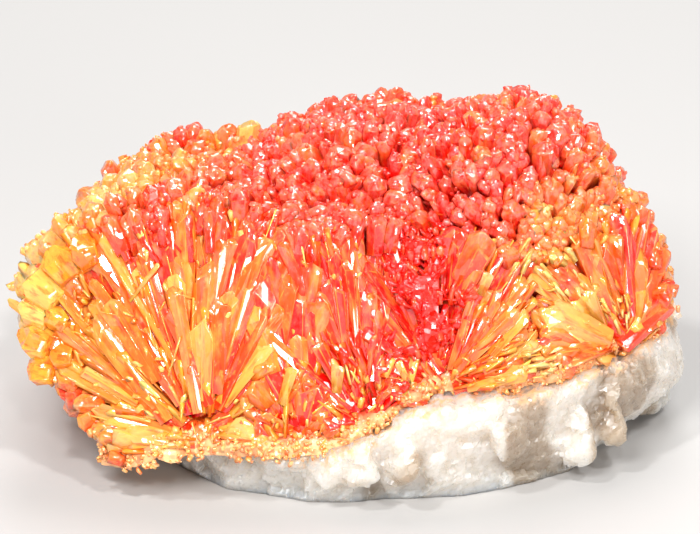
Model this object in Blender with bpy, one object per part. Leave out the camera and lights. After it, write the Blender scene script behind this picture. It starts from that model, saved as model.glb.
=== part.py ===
"""Orpiment specimen: radiating fans of red and orange crystals grown on a lump of white calcite.

Metres, +Z up. The origin is on the surface that the stone rests on, under the middle of the
specimen. The front, towards -Y, is the broken face where the fans show side on.
"""

import math

import bmesh
import bpy
import numpy as np
from mathutils import Matrix, Vector, noise

MM = 0.001
SEED = 17

# Where the working axes lie in the finished specimen, so that its plan box is centred (mm).
PLAN_SHIFT = (0.58, -0.335)

# The calcite: plan radius about its middle at equal steps of azimuth, from +X turning to +Y (mm).
STONE_MIDDLE = (2.2, -0.3)
STONE_RADII = (
    *(17.3, 16.4, 15.2, 13.4, 12.0, 12.2, 14.2, 15.6),
    *(15.9, 15.4, 13.8, 12.3, 11.1, 11.4, 12.4, 14.9),
)
STONE_HEIGHT = 9.0
STONE_LEVELS = (1.2, 2.8, 4.6, 6.6)
STONE_SEGMENTS = 32
STONE_UNDERCUT = 0.2
CHUNKS = 20
CHUNK_SIZE = (2.4, 4.6)

# The bed: the uneven join between the calcite and the crystals, with the clearance left between them.
JOIN_GAP = 0.3
BED_STEP = 2.6
BED_ROUGHNESS = 0.32

# The two broken faces, front and back: how far out each is at mid length, how much it leans in with
# height, where it starts to sweep in towards either end, and how fast (mm).
FRONT, INSIDE, BACK = -1, 0, 1
BREAK_OUT = {FRONT: 11.3, BACK: 12.2}
BREAK_LEAN = {FRONT: 0.40, BACK: 0.24}
BREAK_ENDS = (-8.0, 5.0)
BREAK_SWEEP = {FRONT: 0.043, BACK: 0.03}
HOLLOW_MIDDLE, HOLLOW_SIZE, HOLLOW_DEPTH = (4.2, 11.0), (2.4, 4.5), 3.0

# The fans. Each grows from a root, reaches differently to the left, right, in depth and upwards, and lies
# on the front break, on the back one or inside (mm).
FANS = (
    # root x, y, z        left  right depth up   side
    ((-8.4, 0.0, 4.0), (13.6, 13.4, 14.0, 13.8), FRONT),
    ((-3.0, 0.0, 3.3), (13.0, 13.0, 13.5, 12.4), FRONT),
    ((0.9, 0.0, 4.7), (12.5, 12.5, 13.0, 12.0), FRONT),
    ((5.1, 0.0, 6.2), (9.0, 11.0, 11.0, 9.6), FRONT),
    ((16.0, 0.0, 6.8), (9.0, 2.6, 9.0, 8.6), FRONT),
    ((-9.5, 1.6, 3.6), (9.6, 10.0, 9.0, 12.4), INSIDE),
    ((1.0, 1.4, 5.0), (12.0, 12.0, 12.0, 14.0), INSIDE),
    ((9.8, -0.5, 6.5), (12.0, 7.4, 12.0, 13.8), INSIDE),
    ((-7.6, 0.0, 3.4), (12.0, 10.0, 10.0, 12.0), BACK),
    ((2.6, 0.0, 4.6), (12.0, 12.0, 12.0, 13.4), BACK),
    ((11.2, 0.0, 6.4), (10.0, 6.4, 10.0, 11.6), BACK),
)
SHORTEST = 0.45
LOW_ANGLE, HIGH_ANGLE = math.radians(-12), math.radians(33)

# The crystals: spacing of their heads across the top and along the broken faces, and their shape (mm).
HEAD_SPACING = 4.2
BLADE_SPACING = {FRONT: 2.25, BACK: 3.6}
HEAD_WIDTH = (1.3, 1.9)
BLADE_WIDTH = (0.8, 1.2)
FLATNESS = (0.6, 0.9)
HEAD_SIDES, BLADE_SIDES = 4, 4
HEAD_FOOT, BLADE_FOOT = 0.5, 0.16

# The solid middle that the crystals grow out of: rings about a line along X. Its foot is a crust of
# short crystals that fills the specimen out to the broken faces just above the bed (mm).
CORE_SHARE = 0.9
CORE_LUMPS = 0.6
CORE_BEHIND_BLADES = 0.4
CORE_ENDS, CORE_RINGS, CORE_POINTS = (-17.4, 17.2), 18, 18
CORE_LINE = (0.4, 7.6)
CRUST_ENDS, CRUST_HEIGHT, CRUST_AHEAD = (-14.0, 18.2), 1.0, 0.6


def smoothstep(low, high, value):
    t = np.clip((value - low) / (high - low), 0.0, 1.0)
    return t * t * (3.0 - 2.0 * t)


def bed_height(x):
    """Height of the join above the resting surface: low at the left, with two rises to the right."""
    left = 1.7 + 1.4 * smoothstep(-15.0, -9.0, x)
    return left + 3.0 * smoothstep(-2.5, 6.5, x) + 0.7 * smoothstep(13.0, 17.5, x)


def unevenness(point, scale, seed):
    """Smooth noise from about -1 to 1 at a point in mm."""
    return noise.noise(Vector(point) / scale + Vector((seed, 2 * seed, 3 * seed)))


# ---------------------------------------------------------------- the fans' growth


def break_y(side, x, z):
    """Where a broken face lies in depth. The front one has a hollow right of its middle."""
    low, high = BREAK_ENDS
    sweep = BREAK_SWEEP[side] * (np.maximum(0.0, x - high) ** 2 + np.maximum(0.0, low - x) ** 2)
    out = BREAK_OUT[side] - sweep - BREAK_LEAN[side] * (z - 4.0)
    if side == FRONT:
        across, up = (x - HOLLOW_MIDDLE[0]) / HOLLOW_SIZE[0], (z - HOLLOW_MIDDLE[1]) / HOLLOW_SIZE[1]
        out = out - HOLLOW_DEPTH * np.exp(-across * across - up * up)
    return side * out


def root_of(fan):
    """A fan's root; one on a broken face has its depth from that face."""
    (x, y, z), _, side = FANS[fan]
    if side != INSIDE:
        y = float(break_y(side, x, z)) - 0.3 * side
    return np.array((x, y, z))


def reach_of(fan, directions):
    """How far a fan's crystals grow in each direction: those that start low stay short."""
    left, right, depth, up = FANS[fan][1]
    side = np.where(directions[..., 0] < 0.0, left, right)
    x, y, z = directions[..., 0] / side, directions[..., 1] / depth, directions[..., 2] / up
    full = 1.0 / np.sqrt(x * x + y * y + z * z)
    elevation = np.arcsin(np.clip(directions[..., 2], -1.0, 1.0))
    return full * (SHORTEST + (1.0 - SHORTEST) * smoothstep(LOW_ANGLE, HIGH_ANGLE, elevation))


def growth_share(fan, points):
    """Distance from a fan's root as a share of its reach."""
    away = points - root_of(fan)
    distance = np.linalg.norm(away, axis=-1)
    return distance / reach_of(fan, away / np.maximum(distance, 1e-6)[..., None])


def depth_inside_breaks(points):
    """How far points are behind the nearer of the two broken faces."""
    x, y, z = points[..., 0], points[..., 1], points[..., 2]
    return np.minimum(y - break_y(FRONT, x, z), break_y(BACK, x, z) - y)


def directions_on_sphere(count):
    """Evenly spread directions along a golden spiral."""
    steps = np.arange(count) + 0.5
    height = 1.0 - 2.0 * steps / count
    turn = steps * math.pi * (3.0 - math.sqrt(5.0))
    ring = np.sqrt(1.0 - height * height)
    return np.stack([ring * np.cos(turn), ring * np.sin(turn), height], axis=1)


def level_reach(fan, away):
    """A fan's reach along a broken face, for offsets from its root seen square on to that face."""
    flat = away * (1.0, 0.0, 1.0)
    distance = np.linalg.norm(flat, axis=-1)
    return distance, reach_of(fan, flat / np.maximum(distance, 1e-6)[..., None])


def among_blades(tips):
    """Which tips are on a broken face, within the reach of the blades laid open there."""
    found = np.zeros(len(tips), bool)
    for fan, (_, _, side) in enumerate(FANS):
        if side != INSIDE:
            distance, far = level_reach(fan, tips - root_of(fan))
            found |= (distance < 0.97 * far) & (tips[:, 1] * side > 0.0)
    return found


def head_tips(fan, rng):
    """Tips of a fan's crystals on the top and ends of the specimen, where no other fan covers them."""
    around = directions_on_sphere(round(4.0 * math.pi * (max(FANS[fan][1]) / HEAD_SPACING) ** 2))
    around = around + rng.normal(0.0, 0.05, around.shape)
    around /= np.linalg.norm(around, axis=1)[:, None]
    away = around * (reach_of(fan, around) * rng.uniform(0.93, 1.02, len(around)))[:, None]
    shares = np.arange(0.3, 1.001, 0.02)
    line = root_of(fan) + away[:, None, :] * shares[None, :, None]
    kept = np.max(np.where(depth_inside_breaks(line) > 0.3, shares, 0.3), axis=1)
    tips = root_of(fan) + away * kept[:, None]
    others = [other for other in range(len(FANS)) if other != fan]
    covered = np.min([growth_share(other, tips) for other in others], axis=0) < 0.95
    low = tips[:, 2] < bed_height(tips[:, 0]) + 0.6
    return tips[~low & np.where(kept < 0.99, ~among_blades(tips) & (kept > 0.5), ~covered)]


def blade_tips(fan, rng):
    """Tips of the blades laid open along a broken face: they stop where they meet the next fan's."""
    _, reach, side = FANS[fan]
    if side == INSIDE:
        return np.empty((0, 3))
    step = BLADE_SPACING[side] / reach[3]
    turns = np.arange(-1.85, 1.85, step)
    turns = turns + rng.uniform(-0.25, 0.25, len(turns)) * step
    around = np.stack([np.sin(turns), np.zeros(len(turns)), np.cos(turns)], axis=1)
    length = reach_of(fan, around) * rng.uniform(0.93, 1.02, len(around))
    root = root_of(fan)
    beside = [other for other, (_, _, its_side) in enumerate(FANS) if its_side == side and other != fan]
    neighbours = [root_of(other) for other in beside]
    tips = []
    for way, far in zip(around, length):
        reached = 0.0
        for share in np.arange(0.1, 1.001, 0.05):
            spot = root + way * far * share
            gap = min(np.hypot(*(spot - other)[[0, 2]]) for other in neighbours)
            if gap < far * share - 0.3:
                break
            reached = share
        spot = root + way * far * reached
        x, z = spot[0], spot[2]
        if reached > 0.35 and z > bed_height(x) + 0.3:
            tips.append((x, break_y(side, x, z) - side * rng.uniform(0.2, 0.8), z))
    return np.array(tips)


# ---------------------------------------------------------------- making the shapes


def clear_scene():
    for obj in list(bpy.data.objects):
        bpy.data.objects.remove(obj, do_unlink=True)


def new_collection(name):
    collection = bpy.data.collections.new(name)
    bpy.context.scene.collection.children.link(collection)
    return collection


def new_object(name, shape, collection, helper=False):
    """A named object from a bmesh in mm, in metres. A helper is a cutter or a guide, never a piece."""
    shape.transform(Matrix.Translation((*PLAN_SHIFT, 0.0)))
    shape.transform(Matrix.Scale(MM, 4))
    bmesh.ops.recalc_face_normals(shape, faces=shape.faces)
    mesh = bpy.data.meshes.new(name)
    shape.to_mesh(mesh)
    shape.free()
    obj = bpy.data.objects.new(name, mesh)
    collection.objects.link(obj)
    if helper:
        obj.hide_render = True
        obj.display_type = "WIRE"
    return obj


def material(name, colour, roughness):
    made = bpy.data.materials.new(name)
    made.use_nodes = True
    shader = made.node_tree.nodes["Principled BSDF"]
    shader.inputs["Base Color"].default_value = (*colour, 1.0)
    shader.inputs["Roughness"].default_value = roughness
    shader.inputs["Metallic"].default_value = 0.0
    return made


def boolean(obj, operation, other=None, collection=None):
    cut = obj.modifiers.new(operation.title(), "BOOLEAN")
    cut.operation = operation
    cut.solver = "EXACT"
    if collection is not None:
        cut.operand_type = "COLLECTION"
        cut.collection = collection
    else:
        cut.object = other
        cut.use_self = True


def bodies_of(shape):
    """The separate bodies of a bmesh, as lists of vertices, largest first."""
    left, bodies = set(shape.verts), []
    while left:
        body = [left.pop()]
        for vert in body:
            near = {edge.other_vert(vert) for edge in vert.link_edges} & left
            left -= near
            body.extend(near)
        bodies.append(body)
    return sorted(bodies, key=len, reverse=True)


def keep_main_body(obj):
    """Applies the Booleans and drops what they leave apart: a sealed hollow or a crystal joined to nothing."""
    graph = bpy.context.evaluated_depsgraph_get()
    made = bpy.data.meshes.new_from_object(obj.evaluated_get(graph))
    shape = bmesh.new()
    shape.from_mesh(made)
    apart = [vert for body in bodies_of(shape)[1:] for vert in body]
    bmesh.ops.delete(shape, geom=apart, context="VERTS")
    shape.to_mesh(made)
    shape.free()
    obj.modifiers.clear()
    obj.data = made


def over_the_bed(name, lift, collection):
    """A block that fills all the space above the bed, raised by lift. It shapes both sides of the join."""
    shape = bmesh.new()
    half, top = 24.0, 30.0
    cells = round(2 * half / BED_STEP)
    bmesh.ops.create_grid(shape, x_segments=cells, y_segments=cells, size=half)
    for vert in shape.verts:
        bump = BED_ROUGHNESS * unevenness(vert.co, 2.6, 1.7)
        vert.co.z = float(bed_height(vert.co.x)) + bump + lift
    sheet = bmesh.ops.extrude_face_region(shape, geom=shape.faces[:])
    for vert in [v for v in sheet["geom"] if isinstance(v, bmesh.types.BMVert)]:
        vert.co.z = top
    return new_object(name, shape, collection, helper=True)


def stone_radius(azimuth):
    """Plan radius of the calcite at an azimuth, by a smooth curve through STONE_RADII."""
    count = len(STONE_RADII)
    place = (azimuth % math.tau) / math.tau * count
    first = int(place)
    part = place - first
    before, start, end, after = (STONE_RADII[(first + step) % count] for step in (-1, 0, 1, 2))
    cubic = 3 * (start - end) + after - before
    square = 2 * before - 5 * start + 4 * end - after
    return start + 0.5 * part * (end - before + part * (square + part * cubic))


def stone_scale(azimuth, height):
    """Share of the plan radius at a height: the foot is drawn in, and most of all under the right end."""
    east = math.cos(azimuth)
    foot = 0.96 - STONE_UNDERCUT * (max(0.0, east) ** 8 + 0.5 * max(0.0, -east) ** 4)
    widened = foot + (1.0 - foot) * float(smoothstep(0.0, 3.4, height))
    return widened - 0.03 * float(smoothstep(4.0, 8.0, height))


def calcite_chunk(rng):
    """One cleavage block of calcite: a cube sheared to a rhomb, its edges knocked off."""
    chunk = bmesh.new()
    bmesh.ops.create_cube(chunk, size=1.0)
    bmesh.ops.bevel(chunk, geom=chunk.edges[:], offset=0.12, segments=1, affect="EDGES")
    shear = Matrix.Identity(4)
    shear[0][1], shear[0][2] = 0.25, 0.2
    size = rng.uniform(*CHUNK_SIZE, 3)
    turn = Matrix.Rotation(rng.uniform(0, math.tau), 4, "Z")
    lean = Matrix.Rotation(rng.uniform(-0.6, 0.6), 4, "X")
    chunk.transform(turn @ lean @ Matrix.Diagonal((*size, 1.0)) @ shear)
    return chunk


def build_calcite(rng, pieces, helpers, stone_paint):
    """The matrix: a thick slab with broken, blocky sides, a flat foot and the bed cut in its top."""
    shape = bmesh.new()
    bmesh.ops.create_cone(
        shape, segments=STONE_SEGMENTS, radius1=1.0, radius2=1.0, depth=STONE_HEIGHT, cap_ends=True
    )
    bmesh.ops.translate(shape, verts=shape.verts, vec=(0.0, 0.0, STONE_HEIGHT / 2))
    for level in STONE_LEVELS:
        everything = shape.verts[:] + shape.edges[:] + shape.faces[:]
        bmesh.ops.bisect_plane(shape, geom=everything, plane_co=(0, 0, level), plane_no=(0, 0, 1))
    for vert in shape.verts:
        azimuth = math.atan2(vert.co.y, vert.co.x)
        radius = stone_radius(azimuth) * stone_scale(azimuth, vert.co.z)
        spot = Vector((radius * math.cos(azimuth), radius * math.sin(azimuth), vert.co.z))
        radius += 0.5 * unevenness(spot, 2.2, 5.1)
        vert.co.x = STONE_MIDDLE[0] + radius * math.cos(azimuth)
        vert.co.y = STONE_MIDDLE[1] + radius * math.sin(azimuth)
    stone = new_object("calcite_matrix", shape, pieces)
    stone.data.materials.append(stone_paint)

    chunks = new_collection("calcite_chunks")
    for number in range(CHUNKS):
        azimuth = math.tau * (number + rng.uniform(-0.35, 0.35)) / CHUNKS
        height = rng.uniform(1.6, 4.8)
        radius = stone_radius(azimuth) * stone_scale(azimuth, height) - rng.uniform(1.3, 1.9)
        chunk = calcite_chunk(rng)
        x = STONE_MIDDLE[0] + radius * math.cos(azimuth)
        y = STONE_MIDDLE[1] + radius * math.sin(azimuth)
        chunk.transform(Matrix.Translation((x, y, height)))
        new_object(f"chunk_{number}", chunk, chunks, helper=True)
    boolean(stone, "UNION", collection=chunks)

    below = bmesh.new()
    bmesh.ops.create_cube(below, size=60.0)
    bmesh.ops.translate(below, verts=below.verts, vec=(0.0, 0.0, -30.0))
    boolean(stone, "DIFFERENCE", new_object("resting_surface", below, helpers, helper=True))
    boolean(stone, "DIFFERENCE", over_the_bed("above_calcite", -JOIN_GAP / 2, helpers))
    keep_main_body(stone)


def crystal_shape(root, tip, is_blade, rng):
    """One crystal: a flattened spike that widens outwards and ends in a bevelled chisel."""
    along = Vector(tip) - Vector(root)
    start = (BLADE_FOOT if is_blade else HEAD_FOOT) * along.length
    length = along.length - start
    half_width = rng.uniform(*(BLADE_WIDTH if is_blade else HEAD_WIDTH))
    bevel = min(half_width * rng.uniform(0.7, 1.1), 0.5 * length)
    foot = half_width * (0.25 if is_blade else 0.6)
    sides = BLADE_SIDES if is_blade else HEAD_SIDES
    shape = bmesh.new()
    bmesh.ops.create_cone(
        shape, segments=sides, radius1=foot, radius2=half_width, depth=length - bevel, cap_ends=True
    )
    head = max(shape.faces, key=lambda face: face.calc_center_median().z)
    grown_head = bmesh.ops.extrude_face_region(shape, geom=[head])
    shape.faces.remove(head)
    chisel = rng.uniform(0.25, 0.6)
    for vert in [v for v in grown_head["geom"] if isinstance(v, bmesh.types.BMVert)]:
        vert.co.x *= 0.8
        vert.co.y *= chisel
        vert.co.z += bevel * (1.0 + 0.25 * vert.co.x / half_width)
    flat = Matrix.Diagonal((1.0, rng.uniform(*FLATNESS), 1.0, 1.0))
    roll = Matrix.Rotation(rng.uniform(0, math.tau), 4, "Z")
    aim = along.to_track_quat("Z", "Y").to_matrix().to_4x4()
    middle = Vector(root) + along.normalized() * (start + (length - bevel) / 2)
    shape.transform(Matrix.Translation(middle) @ aim @ roll @ flat)
    bmesh.ops.triangulate(shape, faces=shape.faces[:])
    return shape


def is_solid(points):
    """Whether points are within the fans' growth or the crust at their foot."""
    x, z = points[..., 0], points[..., 2]
    inside = depth_inside_breaks(points)
    grown = np.min([growth_share(fan, points) for fan in range(len(FANS))], axis=0) < CORE_SHARE
    crust = (z < bed_height(x) + CRUST_HEIGHT) & (x > CRUST_ENDS[0]) & (x < CRUST_ENDS[1])
    return (grown & (inside > CORE_BEHIND_BLADES)) | (crust & (inside > -CRUST_AHEAD))


def core_shape(rng):
    """The core: rings of points pushed out to just under the crystals' tips, joined and capped."""
    turns = np.arange(CORE_POINTS) / CORE_POINTS * math.tau
    ways = np.stack([np.zeros(CORE_POINTS), np.cos(turns), np.sin(turns)], axis=1)
    steps = np.arange(0.6, 20.0, 0.1)
    shape = bmesh.new()
    rings = []
    for x in np.linspace(*CORE_ENDS, CORE_RINGS):
        middle = np.array((x, *CORE_LINE))
        line = middle + ways[:, None, :] * steps[None, :, None]
        far = np.max(np.where(is_solid(line), steps, 0.6), axis=1)
        far = np.maximum(far - rng.uniform(0.0, CORE_LUMPS, CORE_POINTS), 1.5)
        shift = rng.uniform(-0.4, 0.4, CORE_POINTS)
        spots = middle + ways * far[:, None] + np.outer(shift, (1.0, 0.0, 0.0))
        rings.append([shape.verts.new(spot) for spot in spots])
    for ring, following in zip(rings, rings[1:]):
        for here in range(CORE_POINTS):
            after = (here + 1) % CORE_POINTS
            shape.faces.new((ring[here], ring[after], following[after], following[here]))
    for end in (rings[0], rings[-1]):
        shape.faces.new(end)
    bmesh.ops.triangulate(shape, faces=shape.faces[:])
    return shape


def build_orpiment(pieces, helpers, crystal_paint):
    """The fans of crystals, grown into one another round a solid middle and cut off at the bed."""
    core = new_object("orpiment_crystals", core_shape(np.random.default_rng(SEED)), pieces)
    core.data.materials.append(crystal_paint)

    fans = new_collection("crystals")
    for fan in range(len(FANS)):
        rng = np.random.default_rng(SEED + fan)
        heads = [(tip, False) for tip in head_tips(fan, rng)]
        blades = [(tip, True) for tip in blade_tips(fan, rng)]
        for number, (tip, is_blade) in enumerate(heads + blades):
            crystal = crystal_shape(root_of(fan), tip, is_blade, rng)
            new_object(f"crystal_{fan}_{number}", crystal, fans, helper=True)
    boolean(core, "UNION", collection=fans)
    boolean(core, "INTERSECT", over_the_bed("above_bed", JOIN_GAP / 2, helpers))
    keep_main_body(core)


def main():
    clear_scene()
    pieces = new_collection("orpiment_specimen")
    helpers = new_collection("cutters")
    white = material("calcite", (0.86, 0.82, 0.78), 0.45)
    orange = material("orpiment", (0.86, 0.16, 0.02), 0.18)
    build_calcite(np.random.default_rng(SEED), pieces, helpers, white)
    build_orpiment(pieces, helpers, orange)


main()
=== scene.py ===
"""A small specimen of orpiment: fans of red, orange and yellow crystals grown on a lump of white calcite.

Blender works in metres with +Z up. The front, where the fans are broken open, is towards -Y. Sizes
below are in millimetres, about working axes that PLAN_SHIFT moves to the middle of the specimen.
"""

import math

import bmesh
import bpy
import numpy as np
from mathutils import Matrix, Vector, noise
from mathutils.kdtree import KDTree
from numpy.random import default_rng


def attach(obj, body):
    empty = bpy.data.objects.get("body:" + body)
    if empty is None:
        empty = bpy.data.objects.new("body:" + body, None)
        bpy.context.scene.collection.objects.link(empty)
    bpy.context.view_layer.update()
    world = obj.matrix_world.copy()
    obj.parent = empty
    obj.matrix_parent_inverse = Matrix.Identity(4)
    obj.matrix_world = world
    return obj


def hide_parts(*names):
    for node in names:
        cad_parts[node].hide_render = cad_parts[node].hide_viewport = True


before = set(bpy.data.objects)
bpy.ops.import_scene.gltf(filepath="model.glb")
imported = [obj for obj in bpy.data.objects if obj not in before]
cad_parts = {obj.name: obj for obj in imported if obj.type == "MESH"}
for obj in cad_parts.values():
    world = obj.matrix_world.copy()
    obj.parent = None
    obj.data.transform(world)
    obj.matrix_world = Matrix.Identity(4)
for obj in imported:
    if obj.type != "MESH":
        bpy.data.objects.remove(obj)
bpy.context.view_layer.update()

# ---- The calcite lump
# The matrix that everything grew on: massive white calcite, broken along its three cleavages into blocky,
# sugary faces, with a few greyish brown clouds. The specimen rests on its flat foot.

MM = 0.001
PLAN_SHIFT = np.array((0.58, -0.335, 0.0))
BED_LOW = 1.7
BED_RISES = (
    # height, from x, to x
    (1.4, -15.0, -9.0),
    (3.0, -2.5, 6.5),
    (0.7, 13.0, 17.5),
)
ROCK_GRAIN, FOOT_HEIGHT, BROKEN_ABOVE = 0.2, 0.12, 0.6
CLEAVAGES = ((0.86, 0.12, 0.49), (-0.38, 0.80, 0.46), (-0.30, -0.66, 0.69))
KEEP_FACING, BLOCK_TILT, STEEPEST = 0.8, 0.14, 0.4
BLOCK_SIZES = (
    # across, most that a face moves
    (2.6, 0.20),
    (1.1, 0.08),
    (0.5, 0.04),
)
CALCITE_WHITE, CALCITE_SHADE, CALCITE_CLOUD = (0.67, 0.61, 0.55), (0.63, 0.57, 0.50), (0.33, 0.25, 0.18)
CALCITE_STAIN = (0.86, 0.46, 0.22)
CALCITE_GLOW_DEPTH = 4.5
STAIN_DEPTH, STAIN_WANDER, STAIN_LUMPS = 0.9, 0.8, 1.6
CLOUD_LUMPS, CLOUD_LEVEL, CLOUD_EDGE, CLOUD_STRENGTH = 2.3, 0.26, 0.35, 0.9
CLOUDED_FROM, CLOUDED_TO, CLOUDED_MORE = (7.0, 10.0), (16.0, 18.5), 0.46


def smoothstep(low, high, value):
    t = np.clip((value - low) / (high - low), 0.0, 1.0)
    return t * t * (3.0 - 2.0 * t)


def bed_height(x):
    """Height of the join of calcite and crystals, which rises in steps from left to right."""
    return sum((rise * smoothstep(start, stop, x) for rise, start, stop in BED_RISES), BED_LOW)


def unit(rows):
    return rows / np.maximum(np.linalg.norm(rows, axis=1), 1e-9)[:, None]


def rows_of(items, name, kind=np.float32):
    """Three numbers for each of a mesh's items, such as the place of each point."""
    flat = np.empty(len(items) * 3, kind)
    items.foreach_get(name, flat)
    return flat.reshape(-1, 3)


def points_of(mesh):
    """A mesh's points in working millimetres."""
    return rows_of(mesh.vertices, "co").astype(float) / MM - PLAN_SHIFT


def normals_of(mesh):
    return rows_of(mesh.vertex_normals, "vector").astype(float)


def put_points(mesh, points):
    mesh.vertices.foreach_set("co", ((points + PLAN_SHIFT) * MM).astype(np.float32).ravel())
    mesh.update()


def add_readings(mesh, domain="POINT", **readings):
    """Stores what the materials read by name: a tint is a colour, a lie a place, and the rest numbers."""
    kinds = {"tint": ("FLOAT_COLOR", "color"), "lie": ("FLOAT_VECTOR", "vector")}
    for name, values in readings.items():
        kind, field = kinds.get(name, ("FLOAT", "value"))
        if name == "tint":
            values = np.column_stack([values, np.ones(len(values))])
        flat = np.asarray(values, np.float32).ravel()
        mesh.attributes.new(name, kind, domain).data.foreach_set(field, flat)


def noise_at(points, lumps, shift=(0.0, 0.0, 0.0)):
    """Smooth noise from about -1 to 1 at each point, with lumps of one size."""
    return np.array([noise.noise(Vector(point) / lumps + Vector(shift)) for point in points])


def add_object(name, data):
    made = bpy.data.objects.new(name, data)
    bpy.context.scene.collection.objects.link(made)
    return made


def remeshed(solid, grain, name):
    """A fine, even mesh of the same shape as one of the part's solids."""
    copy = add_object(name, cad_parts[solid].data.copy())
    copy.data.materials.clear()
    remesh = copy.modifiers.new("grain", "REMESH")
    remesh.mode = "VOXEL"
    remesh.voxel_size = grain * MM
    graph = bpy.context.evaluated_depsgraph_get()
    fine = bpy.data.meshes.new_from_object(copy.evaluated_get(graph))
    copy.modifiers.clear()
    copy.data = fine
    fine.name = name
    return copy


def cleave(points, normals, rng, size, most):
    """Pulls a surface onto the faces of grains of one size, each tilted towards a cleavage."""
    count = max(8, int(len(points) * (ROCK_GRAIN / size) ** 2))
    chosen = rng.choice(len(points), count, replace=False)
    tree = KDTree(count)
    for number, which in enumerate(chosen):
        tree.insert(points[which], number)
    tree.balance()
    planes = unit(np.array(CLEAVAGES))
    planes = np.concatenate([planes, -planes])
    nearest_plane = np.argmax(normals[chosen] @ planes.T, axis=1)
    facing = normals[chosen] * KEEP_FACING + planes[nearest_plane]
    facing = unit(facing + rng.normal(0.0, BLOCK_TILT, (count, 3)))
    grain = np.array([tree.find(point)[1] for point in points])
    out = np.einsum("ij,ij->i", points[chosen][grain] - points, facing[grain])
    out /= np.maximum(np.einsum("ij,ij->i", normals, facing[grain]), STEEPEST)
    return points + normals * np.clip(out, -most, most)[:, None]


def feed(tree, shader_node, inputs):
    """Gives inputs of a node, by name or number, a link from another node, a colour or a number."""
    for name, given in inputs.items():
        socket = shader_node.inputs[name.replace("_", " ") if isinstance(name, str) else name]
        if isinstance(given, bpy.types.NodeSocket):
            tree.links.new(given, socket)
        elif isinstance(given, tuple) and socket.type == "RGBA":
            socket.default_value = (*given, 1.0)
        else:
            socket.default_value = given


def node(tree, kind, *first_inputs, **settings):
    """A new shader node. A setting is a property of the node or one of its inputs."""
    made = tree.nodes.new(kind)
    for name in [name for name in settings if hasattr(made, name)]:
        setattr(made, name, settings.pop(name))
    feed(tree, made, {**dict(enumerate(first_inputs)), **settings})
    return made


def blank(name):
    """A new material, its node tree and its shader."""
    made = bpy.data.materials.new(name)
    made.use_nodes = True
    return made, made.node_tree, made.node_tree.nodes["Principled BSDF"]


def reading(tree, name, output="Color"):
    return node(tree, "ShaderNodeAttribute", attribute_name=name).outputs[output]


def reckoned(tree, way, *values):
    """The result of arithmetic on vectors."""
    return node(tree, "ShaderNodeVectorMath", *values, operation=way).outputs[0]


def times(tree, first, second):
    return node(tree, "ShaderNodeMath", first, second, operation="MULTIPLY").outputs[0]


def noise_over(tree, place, scale, stretch=(1.0, 1.0, 1.0), detail=3.0):
    """Noise over a place in mm, stretched along each axis; scale is in features to the mm."""
    stretched = reckoned(tree, "MULTIPLY", place, stretch)
    made = node(tree, "ShaderNodeTexNoise", stretched, Scale=scale, Detail=detail, Roughness=0.55)
    return made.outputs["Fac"]


def graded(tree, value, low, high, to_low=0.0, to_high=1.0):
    """A value scaled so that low becomes to_low and high becomes to_high, with nothing beyond them."""
    return node(tree, "ShaderNodeMapRange", value, low, high, to_low, to_high).outputs["Result"]


def mixed(tree, share, first, second, way="MIX"):
    """Mixes two colours, each one a socket or three numbers, by a share that is a socket or a number."""
    made = node(tree, "ShaderNodeMix", data_type="RGBA", blend_type=way)
    feed(tree, made, {0: share, 6: first, 7: second})
    return made.outputs[2]


def small_faces(tree, place, scale, stretch, tilt):
    """The way a surface faces once it is broken into small flat faces, each tilted at random."""
    stretched = reckoned(tree, "MULTIPLY", place, stretch)
    cells = node(tree, "ShaderNodeTexVoronoi", stretched, Scale=scale).outputs["Color"]
    lean = reckoned(tree, "MULTIPLY_ADD", cells, (2.0 * tilt,) * 3, (-tilt,) * 3)
    straight = tree.nodes.new("ShaderNodeNewGeometry").outputs["Normal"]
    return reckoned(tree, "NORMALIZE", reckoned(tree, "ADD", straight, lean))


def calcite_material():
    made, tree, shader = blank("calcite")
    lie = reading(tree, "lie", "Vector")
    sugar = noise_over(tree, lie, 2.6, detail=4.0)
    drifts = noise_over(tree, lie, 0.45)
    colour = mixed(tree, graded(tree, sugar, 0.35, 0.65), CALCITE_SHADE, CALCITE_WHITE)
    colour = mixed(tree, graded(tree, drifts, 0.45, 0.7, 0.0, 0.45), colour, CALCITE_SHADE)
    colour = mixed(tree, reading(tree, "cloud", "Fac"), colour, CALCITE_CLOUD)
    specks = times(tree, reading(tree, "stain", "Fac"), graded(tree, sugar, 0.40, 0.62))
    feed(tree, shader, {
        "Base Color": mixed(tree, specks, colour, CALCITE_STAIN),
        "Roughness": graded(tree, sugar, 0.3, 0.7, 0.15, 0.5),
        "Normal": small_faces(tree, lie, 2.2, (1.0, 1.0, 1.0), 0.12),
        "IOR": 1.6, "Subsurface Weight": 1.0, "Subsurface Radius": (1.0, 0.85, 0.70),
        "Subsurface Scale": CALCITE_GLOW_DEPTH * MM,
    })
    return made


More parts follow.
